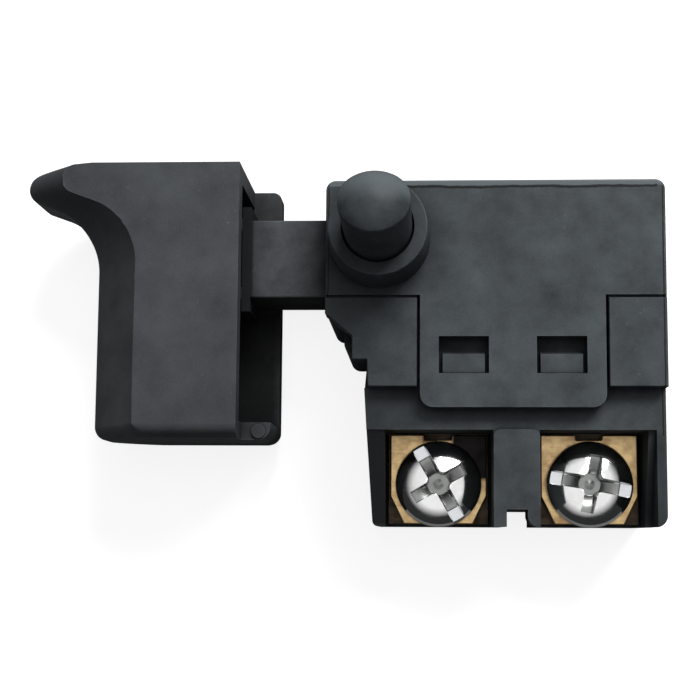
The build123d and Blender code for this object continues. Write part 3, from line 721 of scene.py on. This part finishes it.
def slice_mesh(mesh, axis, levels):
    """Cuts every face of a mesh at each of the levels along one axis, which adds points and moves none."""
    work = bmesh.new()
    work.from_mesh(mesh)
    normal = Vector([float(index == axis) for index in range(3)])
    for level in levels:
        parts = work.verts[:] + work.edges[:] + work.faces[:]
        bmesh.ops.bisect_plane(work, geom=parts, dist=1e-7, plane_co=normal * level, plane_no=normal)
    work.to_mesh(mesh)
    work.free()


def chamfer_finger_side(mesh):
    """Turns the finger side's quarter-round section into a rounded wedge. Each point moves along X by the
    new set-back less the old one, at its distance from the trigger's middle plane: the old one is the round
    radius less the height of its circle, and the new one a hyperbola that leaves a narrow front band and
    runs straight to the face. The band is broader at the nose, below which the finger side swells forwards.
    The move fades out behind the face's edge."""
    size = bpy.context.scene.switch_trigger
    low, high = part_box("trigger")
    middle, half = (low.z + high.z) / 2, (high.z - low.z) / 2
    nose_foot, nose_blend, back = high.y - 2.0 * MM, 5.0 * MM, high.x - 3.6 * MM
    steps = np.linspace(size.front_band, half, 18, endpoint=False)
    slice_mesh(mesh, 2, np.concatenate([middle - steps, middle + steps]))
    places = read_points(mesh)
    away = np.minimum(np.abs(places[:, 2] - middle), half)
    across = np.clip(away - (half - size.round), 0, size.round)
    old = size.round - np.sqrt(size.round**2 - across**2)
    drop = ease(np.clip((nose_foot - places[:, 1]) / nose_blend, 0, 1))
    band = size.nose_band + (size.front_band - size.nose_band) * drop
    share = np.clip((away - band) / (half - band), 0, 1)
    bend = size.front_bend
    new = size.set_back * (np.sqrt(share**2 + bend**2) - bend) / (np.sqrt(1 + bend**2) - bend)
    new -= size.swell * drop * (1 - share)
    edge = low.x + size.face_inset + size.round
    fade = np.clip((back - places[:, 0]) / (back - edge), 0, 1)
    places[:, 0] += (new - old) * ease(fade)
    move_points(mesh, places, sharp=30)


class SWITCH_OT_trigger(bpy.types.Operator):
    """Gives the trigger its wedge-shaped finger side, and the trigger and the plunger their finishes"""

    bl_idname = "switch.trigger"
    bl_label = "Trigger and Plunger"

    def execute(self, context):
        size = context.scene.switch_trigger
        low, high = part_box("trigger")
        mouth = high.x - 3.0 * MM
        spring_low, spring_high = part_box("return_spring")
        neck_under = (spring_low.y + spring_high.y) / 2 - 4.1 * MM
        # Painted shade: the far wall's face inside the trigger's mouth, darkened almost to black.
        mouth_low = (mouth - 6 * MM, low.y, low.z + 1 * MM)
        mouth_high = (high.x, neck_under, low.z + 3.8 * MM)
        shell = nylon(
            "Trigger Nylon",
            size.colour,
            clouds=1.2,
            cloud_scale=210.0,
            flecks=0.45,
            patches=[(mouth_low, mouth_high, 1.6 * MM, 0.97)],
        )
        slide = nylon(
            "Plunger Acetal",
            shaded(size.colour, 1.25),
            cloud_scale=420.0,
            roughness=0.5,
            patches=[
                # Painted shade: the plunger's head inside the trigger, darkened almost to black.
                ((low.x, low.y, low.z), (mouth + 0.9 * MM, high.y, high.z), 0.3 * MM, 0.97),
                # Painted shade: a dark strip along the underside of the plunger's neck.
                ((low.x, neck_under - 0.3 * MM, low.z), (0, neck_under + 0.04 * MM, high.z), 0.12 * MM, 0.9),
            ],
        )
        soften_node(
            "trigger", "trigger_shell", shell, "trigger", size.edge, chamfer_finger_side
        )
        soften_node("plunger", "plunger_slide", slide, "trigger", 0.12 * MM)
        return {"FINISHED"}


def flatten_dome(mesh):
    """Turns the button's round end into a worn dome that meets its sides at an edge. A point of the round
    end keeps its bearing, its distance from the axis is drawn in to the rim's, and its height becomes that
    of a larger sphere whose middle lies off the axis. The sides taper from the foot to the rim."""
    size = bpy.context.scene.switch_button
    low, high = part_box("lock_button")
    axis_x, axis_y, radius = (low.x + high.x) / 2, (low.y + high.y) / 2, (high.x - low.x) / 2
    base, skin, slack = high.z - radius, 0.06 * MM, 0.01 * MM
    places = read_points(mesh)
    along, side, rise = places[:, 0] - axis_x, places[:, 1] - axis_y, places[:, 2] - base
    reach = np.hypot(along, side)
    domed = (rise > -slack) & (np.hypot(reach, rise) > radius - skin)
    sides = (rise <= -slack) & (reach > radius - skin)
    climb = np.clip((places[:, 2] - low.z) / (base - low.z), 0, 1)
    draw = np.where(domed, size.rim / radius, 1.0)
    draw = np.where(sides, 1 + (size.rim / radius - 1) * climb, draw)
    along, side = along * draw, side * draw
    top = high.z - size.dome + np.sqrt(np.maximum(size.dome**2 - along**2 - (side + size.lean) ** 2, 0))
    places[:, 0], places[:, 1] = axis_x + along, axis_y + side
    places[:, 2] = np.where(domed, np.minimum(top, high.z), places[:, 2])
    move_points(mesh, places, sharp=24)


class SWITCH_OT_lock_button(bpy.types.Operator):
    """Wears the lock button's end to a shallow dome, and gives it satin nylon"""

    bl_idname = "switch.lock_button"
    bl_label = "Lock Button"

    def execute(self, context):
        size = context.scene.switch_button
        low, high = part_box("lock_button")
        # A lighter crown on the dome's +Y side: part wear, part painted highlight.
        crown_low = (low.x, (low.y + high.y) / 2 + 0.4 * MM, high.z - 2.6 * MM)
        crown_high = (high.x, high.y + 2 * MM, high.z + 2 * MM)
        finish = nylon(
            "Button Nylon",
            shaded(context.scene.switch_case.colour, 0.82),
            cloud_scale=380.0,
            roughness=0.5,
            rub_and_highlight=0.2,
            patches=[(crown_low, crown_high, 2 * MM, -0.75)],
        )
        soften_node(
            "lock_button", "lock_button_pin", finish, "lock_button", size.edge, flatten_dome
        )
        return {"FINISHED"}


# How finely a screw is made.
EVEN_LINES, RIM_LINES, THREAD_RINGS = 119, 73, 72
# The width of its cross over its slot's, and the fall of its lip over the lip's width.
CROSS_SHARE, LIP_DROP = 0.92, 0.8


def head_lines(radius, walls):
    """Grid lines across a head: an even set, the sines of even angles for its rim, and some at every wall."""
    even = np.linspace(-radius, radius, EVEN_LINES)
    rim = radius * np.sin(np.linspace(-np.pi / 2, np.pi / 2, RIM_LINES))
    return np.unique(np.round(np.concatenate([even, rim, walls, -np.asarray(walls)]), 8))


def soft_step(distance, ramp):
    """Falls from one to zero while a distance grows from minus to plus ramp, with level ends."""
    return ease(np.clip((ramp - distance) / (2 * ramp), 0, 1))


def cross_distance(along, side, half, reach, fillet):
    """How far a point lies outside a cross of arms 2 half wide and 2 reach long: the lesser of its
    distances along and across, less half, or in the corner square the fillet less the distance to the
    fillet's centre if less."""
    far, near = np.abs(along), np.abs(side)
    corner = half + fillet
    arms = np.minimum(far, near) - half
    inner = fillet - np.hypot(corner - far, corner - near)
    arms = np.where(np.maximum(far, near) < corner, np.minimum(arms, inner), arms)
    return np.maximum(arms, np.maximum(far, near) - reach)


def recess_masks(size, along, side, ramp):
    """Masks of the slot and of the cross: one inside, zero outside, with a soft step at each wall."""
    half, reach = size.slot_width / 2, size.cross_length / 2
    cross = cross_distance(along, side, CROSS_SHARE * half, reach, size.cross_fillet)
    return soft_step(np.abs(side) - half, ramp), soft_step(cross, ramp)


def head_surface(size, crown, middle, turn):
    """A domed head with a slot and a cross recess: on a grid of lines along and across the slot, clipped to
    the head's circle, the height is a sphere's, rounded down at the rim, then lowered to the slot's level
    floor and to the cross's floor, which falls from its arms' ends to a small raised middle. Each wall is a
    soft step."""
    radius, reach, ramp = size.radius, size.cross_length / 2, 0.055 * MM
    walls = [place + k * ramp for place in (size.slot_width / 2, reach) for k in (-1, 0, 1)]
    across = head_lines(radius, walls)
    along, side = np.meshgrid(across, across, indexing="xy")
    limit = np.sqrt(np.maximum(radius**2 - side**2, 0))
    along = np.clip(along, -limit, limit)
    away = np.hypot(along, side)
    dome = size.rise - size.rim
    sphere = (radius**2 + dome**2) / (2 * dome)
    height = crown - (sphere - np.sqrt(sphere**2 - away**2))
    lip = np.clip((away - radius + size.lip) / size.lip, 0, 1)
    height -= LIP_DROP * size.lip * (1 - np.sqrt(1 - lip**2))
    slot_floor, cross_step = crown - size.slot_depth, 0.12 * MM
    nub_rise, nub_radius = 0.16 * MM, 0.55 * MM
    fall = np.clip((reach - away) / (0.62 * reach), 0, 1)
    cross_floor = slot_floor - cross_step - size.cross_fall * fall * fall
    cross_floor = cross_floor + nub_rise * np.clip(1 - away / nub_radius, 0, 1)
    for floor, mask in zip((slot_floor, cross_floor), recess_masks(size, along, side, ramp)):
        height = height + (np.minimum(height, floor) - height) * mask
    x = middle[0] + along * np.cos(turn) - side * np.sin(turn)
    y = middle[1] + along * np.sin(turn) + side * np.cos(turn)
    points = np.stack([x, y, height], axis=-1)
    rim_angle = np.arctan2(side[:, [0, -1]], along[:, [0, -1]]).ravel()
    return (points, grid_faces(*points.shape[:2])), np.unique(np.round(rim_angle, 6)) + turn


def mark_recess(mesh, size, crown, middle, turn):
    """Keeps for each point of a screw how deep it lies in the slot (about 0.5) or the cross (towards 1)."""
    places = read_points(mesh)
    x, y = places[:, 0] - middle[0], places[:, 1] - middle[1]
    along, side = x * np.cos(turn) + y * np.sin(turn), y * np.cos(turn) - x * np.sin(turn)
    slot, cross = recess_masks(size, along, side, 0.05 * MM)
    head = (places[:, 2] > crown - size.rise + 0.03 * MM) * 1.0
    share = mesh.attributes.new("Recess", "FLOAT", "POINT")
    share.data.foreach_set("value", np.maximum(0.5 * slot, cross) * head)


def shank_surface(size, crown, middle, foot, angles):
    """The head's rim, underside and threaded shank, turned round the screw's axis. The shank's radius drops
    from the crest by the thread's depth times a rounded sawtooth of height over pitch minus angle over a
    full turn."""
    under, crest, edge = crown - size.rise, 1.9 * MM, 0.12 * MM
    collar = [
        (size.radius, under + size.rim - LIP_DROP * size.lip),
        (size.radius, under + edge),
        (size.radius - edge, under),
        (crest + 0.02 * MM, under),
        (crest - 0.2 * MM, under - 0.15 * MM),
    ]
    tip = [(1.15 * MM, foot + 0.1 * MM), (0.9 * MM, foot), (0.0, foot)]
    levels = np.linspace(under - 0.3 * MM, foot + 0.6 * MM, THREAD_RINGS)[:, None]
    phase = (levels / size.pitch - angles / (2 * np.pi)) % 1.0
    groove = np.clip(2.6 * np.abs(phase - 0.5) - 0.16, 0, 1)
    lead = np.clip((levels - levels[-1]) / (1.2 * MM), 0.25, 1)
    thread = crest - size.thread_depth * (1 - (1 - groove) * lead)
    all_round = np.ones_like(angles)
    collar, tip = (np.array(profile)[:, :, None] * all_round for profile in (collar, tip))
    radius = np.concatenate([collar[:, 0], thread, tip[:, 0]])
    height = np.concatenate([collar[:, 1], levels * all_round, tip[:, 1]])
    x, y = middle[0] + radius * np.cos(angles), middle[1] + radius * np.sin(angles)
    points = np.stack([x, y, height], axis=-1)
    return points, grid_faces(*points.shape[:2], wrap_columns=True)


class SWITCH_OT_screws(bpy.types.Operator):
    """Cuts the two terminal screws: slotted and crossed domes on threaded shanks"""

    bl_idname = "switch.screws"
    bl_label = "Terminal Screws"

    def execute(self, context):
        size = context.scene.switch_screws
        bright = zinc_plate()
        for side, turn in (("left", size.left_turn), ("right", size.right_turn)):
            low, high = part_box(f"{side}_screw")
            middle = ((low.x + high.x) / 2, (low.y + high.y) / 2)
            head, angles = head_surface(size, high.z, middle, turn)
            shank = shank_surface(size, high.z, middle, low.z, angles)
            name, node = f"{side}_terminal_screw", f"{side}_screw"
            mesh = make_mesh(name, [head, shank], weld=8e-6, sharp=50.0)
            mark_recess(mesh, size, high.z, middle, turn)
            place_piece(name, mesh, bright, node, node)
        return {"FINISHED"}


class SWITCH_OT_terminals(bpy.types.Operator):
    """Finishes the clamp plates in stamped brass, the left one with near-black patches, and the terminal
    strips in near-black brass
    """

    bl_idname = "switch.terminals"
    bl_label = "Clamps and Terminals"

    def execute(self, context):
        low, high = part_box("left_clamp")
        far_x, far_y, far_z = high.x + 1 * MM, high.y + 1 * MM, high.z + 1 * MM
        # Near-black patches over the left plate's upper right and at its top notch.
        dark_patches = [
            ((low.x + 6.3 * MM, high.y - 4.6 * MM, 0), (far_x, far_y, far_z), 0.4 * MM),
            ((low.x + 3.3 * MM, high.y - 0.7 * MM, 0), (low.x + 4.8 * MM, far_y, far_z), 0.3 * MM),
        ]
        # colour, stain, staining, scratches, roughness, depth of the scratches
        brass = ((0.42, 0.305, 0.155), (0.27, 0.15, 0.08), 0.6, 0.8, 0.38, 0.01 * MM)
        # The terminal strips are near black where they show beside the clamps.
        near_black_brass = ((0.04, 0.031, 0.022), (0.02, 0.015, 0.012), 0.7, 0.8, 0.5, 0.01 * MM)
        plates = {"left": metal("Darkened Brass", *brass, dark_patches), "right": metal("Stamped Brass", *brass)}
        strip = metal("Near-Black Brass", *near_black_brass)
        for side, plate in plates.items():
            soften_node(f"{side}_clamp", f"{side}_clamp_plate", plate, f"{side}_clamp", 0.1 * MM)
            finish_node(f"{side}_terminal", strip)
        return {"FINISHED"}


class SWITCH_OT_mechanism(bpy.types.Operator):
    """Gives the springs, contacts and speed control board inside the case their finishes"""

    bl_idname = "switch.mechanism"
    bl_label = "Mechanism Inside"

    def execute(self, context):
        size = context.scene.switch_springs
        metals = (
            # name, colour, stain, staining, scratches, roughness
            ("Spring Wire", (0.60, 0.60, 0.58), (0.30, 0.28, 0.25), 0.3, 0.7, 0.28),
            ("Contact Copper", (0.74, 0.42, 0.26), (0.30, 0.14, 0.08), 0.45, 0.6, 0.30),
            ("Contact Silver", (0.86, 0.84, 0.80), (0.35, 0.33, 0.30), 0.35, 0.5, 0.25),
        )
        wire, copper, silver = (metal(*values) for values in metals)
        finishes = {
            # coated: name, colour, clouds, grain, roughness
            "contact_lever": copper,
            "wiper": copper,
            "moving_contact": silver,
            "fixed_contact": silver,
            "speed_board": coated("Board Lacquer", (0.035, 0.16, 0.06), 0.25, 0.4, 0.35, coat=0.4),
            "triac": coated("Moulded Epoxy", (0.018, 0.018, 0.018), 0.2, 0.8, 0.55),
            "timing_capacitor": coated("Dipped Ceramic", (0.46, 0.24, 0.08), 0.35, 0.5, 0.4, coat=0.3),
            "resistors": coated("Resistor Lacquer", (0.56, 0.44, 0.26), 0.3, 0.3, 0.35, coat=0.5),
            "trigger_diode": coated("Diode Glass", (0.50, 0.13, 0.04), 0.2, 0.1, 0.15, coat=0.8),
        }
        for node, material in finishes.items():
            finish_node(node, material)
        springs = (
            # node, piece, joint, axis, fixed end, how far the free end goes
            ("return_spring", "return_coil", "trigger_slide", 0, 30.85 * MM, size.trigger_travel),
            ("lock_button_spring", "lock_button_coil", "lock_button_press", 2, 13.4 * MM, size.button_travel),
            ("contact_spring", "contact_coil", "contact_lever_swing", 1, -7.0 * MM, size.lever_travel),
        )
        for spring in springs:
            shorten_spring(wire, *spring)
        return {"FINISHED"}


def soft_box(name, place, aim, width, height, power):
    """A large area lamp at place, facing aim."""
    lamp = bpy.data.lights.new(name, "AREA")
    lamp.shape = "RECTANGLE"
    lamp.size, lamp.size_y = width, height
    lamp.energy = power
    holder = bpy.data.objects.new(name, lamp)
    holder.location = place
    holder.rotation_euler = (Vector(aim) - Vector(place)).to_track_quat("-Z", "Y").to_euler()
    bpy.context.scene.collection.objects.link(holder)


def seen_or_mirrored(tree, mirrored):
    """One where a ray comes from the camera or through glass, the given share where it comes from a
    reflection, and zero elsewhere."""
    path = put(tree, "ShaderNodeLightPath").outputs
    glossy = maths(tree, "MULTIPLY", path["Is Glossy Ray"], mirrored)
    seen = maths(tree, "MAXIMUM", path["Is Camera Ray"], glossy)
    return maths(tree, "MAXIMUM", seen, path["Is Transmission Ray"])


def choose_shader(tree, output, mask, lighting, shown):
    """Joins a tree's output to one shader where rays light the switch, and to another where they are seen."""
    shaders = {0: mask, 1: lighting.outputs[0], 2: shown.outputs[0]}
    put(tree, output, {"Surface": put(tree, "ShaderNodeMixShader", shaders).outputs[0]})


def pale_table(side):
    """A square table just under the switch: almost white where it is seen, and grey where it lights."""
    paper, dim, glow, mirrored, gap = 0.5, 0.18, 0.85, 0.03, 0.02 * MM
    corners = [(x * side / 2, y * side / 2, -gap) for x, y in ((-1, -1), (1, -1), (1, 1), (-1, 1))]
    mesh = bpy.data.meshes.new("table")
    mesh.from_pydata(corners, [], [(0, 1, 2, 3)])
    material = bpy.data.materials.new("Pale Table")
    tree = empty_tree(material)
    white = put(tree, "ShaderNodeBsdfDiffuse", {"Color": (paper, paper, paper, 1)})
    grey = put(tree, "ShaderNodeBsdfDiffuse", {"Color": (dim, dim, dim, 1)})
    lift = put(tree, "ShaderNodeEmission", {"Color": (1, 1, 1, 1), "Strength": glow})
    bright = put(tree, "ShaderNodeAddShader", {0: white.outputs[0], 1: lift.outputs[0]})
    choose_shader(tree, "ShaderNodeOutputMaterial", seen_or_mirrored(tree, mirrored), grey, bright)
    mesh.materials.append(material)
    table = bpy.data.objects.new("table", mesh)
    bpy.context.scene.collection.objects.link(table)


def white_studio(strength):
    """A faint cool light from all round, dimmer in reflections, that shows as white. Reflections see its
    ceiling, which brightens with height."""
    world = bpy.data.worlds.new("Studio")
    bpy.context.scene.world = world
    tree = empty_tree(world)
    glossy = put(tree, "ShaderNodeLightPath").outputs["Is Glossy Ray"]
    dimmed = maths(tree, "MULTIPLY_ADD", glossy, -0.75 * strength, strength)
    room = put(tree, "ShaderNodeBackground", {"Color": (0.94, 0.97, 1.0, 1), "Strength": dimmed})
    white = put(tree, "ShaderNodeBackground", {"Color": (1, 1, 1, 1), "Strength": 1.0})
    direction = put(tree, "ShaderNodeTexCoord").outputs["Generated"]
    height = put(tree, "ShaderNodeSeparateXYZ", {"Vector": direction}).outputs["Z"]
    ceiling = spread(tree, height, 0.42, 0.68, 0.01, 1.0)
    choose_shader(tree, "ShaderNodeOutputWorld", seen_or_mirrored(tree, ceiling), room, white)


def place_camera():
    """A camera over the switch, turned and shifted a little off its middle."""
    camera = bpy.data.cameras.new("Camera")
    camera.lens, camera.sensor_width = 55.84, 36.0
    camera.shift_x, camera.shift_y = -0.05, 0.125
    camera.clip_start, camera.clip_end = 0.01, 5.0
    holder = bpy.data.objects.new("Camera", camera)
    holder.location = (0.008588, -0.019063, 0.120092)
    holder.rotation_euler = (0.0888, 0.0342, 0.0053)
    bpy.context.scene.collection.objects.link(holder)
    bpy.context.scene.camera = holder


class SWITCH_OT_stage(bpy.types.Operator):
    """Lays the switch on a pale table under soft light, with the camera over it"""

    bl_idname = "switch.stage"
    bl_label = "Table, Light and Camera"

    def execute(self, context):
        size = context.scene.switch_stage
        context.scene.view_settings.view_transform = "Standard"
        pale_table(size.table_size)
        white_studio(size.room)
        middle = (0.0, 0.0, 0.007)
        soft_box("Key Soft Box", (0.155, 0.31, 0.27), middle, 0.26, 0.16, size.key)
        soft_box("Overhead Soft Box", (0.04, 0.07, 0.42), middle, 0.34, 0.34, size.fill)
        place_camera()
        return {"FINISHED"}


class SWITCH_PT_panel(bpy.types.Panel):
    """The switch's pieces, in the order they are made"""

    bl_idname = "SWITCH_PT_panel"
    bl_label = "Drill Trigger Switch"
    bl_space_type = "VIEW_3D"
    bl_region_type = "UI"
    bl_category = "Switch"

    def draw(self, context):
        layout = self.layout
        for label, settings, operator in STEPS:
            box = layout.box()
            box.label(text=label)
            if settings is not None:
                group = getattr(context.scene, settings)
                for name in group.__annotations__:
                    box.prop(group, name)
            box.operator(operator)


STEPS = (
    ("Case", "switch_case", "switch.case"),
    ("Trigger", "switch_trigger", "switch.trigger"),
    ("Lock Button", "switch_button", "switch.lock_button"),
    ("Screws", "switch_screws", "switch.screws"),
    ("Terminals", None, "switch.terminals"),
    ("Mechanism", "switch_springs", "switch.mechanism"),
    ("Stage", "switch_stage", "switch.stage"),
)
SETTINGS = {
    "switch_case": SWITCH_PG_case,
    "switch_trigger": SWITCH_PG_trigger,
    "switch_button": SWITCH_PG_button,
    "switch_screws": SWITCH_PG_screws,
    "switch_springs": SWITCH_PG_springs,
    "switch_stage": SWITCH_PG_stage,
}
CLASSES = (
    *SETTINGS.values(),
    SWITCH_OT_case,
    SWITCH_OT_trigger,
    SWITCH_OT_lock_button,
    SWITCH_OT_screws,
    SWITCH_OT_terminals,
    SWITCH_OT_mechanism,
    SWITCH_OT_stage,
    SWITCH_PT_panel,
)


def register():
    """Registers the classes, and gives every scene its settings."""
    for cls in CLASSES:
        bpy.utils.register_class(cls)
    for name, cls in SETTINGS.items():
        setattr(bpy.types.Scene, name, bpy.props.PointerProperty(type=cls))


def unregister():
    """Takes the settings and the classes away again."""
    for name in SETTINGS:
        delattr(bpy.types.Scene, name)
    for cls in reversed(CLASSES):
        bpy.utils.unregister_class(cls)


def main():
    """Registers the add-on, and makes every piece and the stage."""
    register()
    for _, _, operator in STEPS:
        group, name = operator.split(".")
        getattr(getattr(bpy.ops, group), name)()


if __name__ == "__main__":
    main()
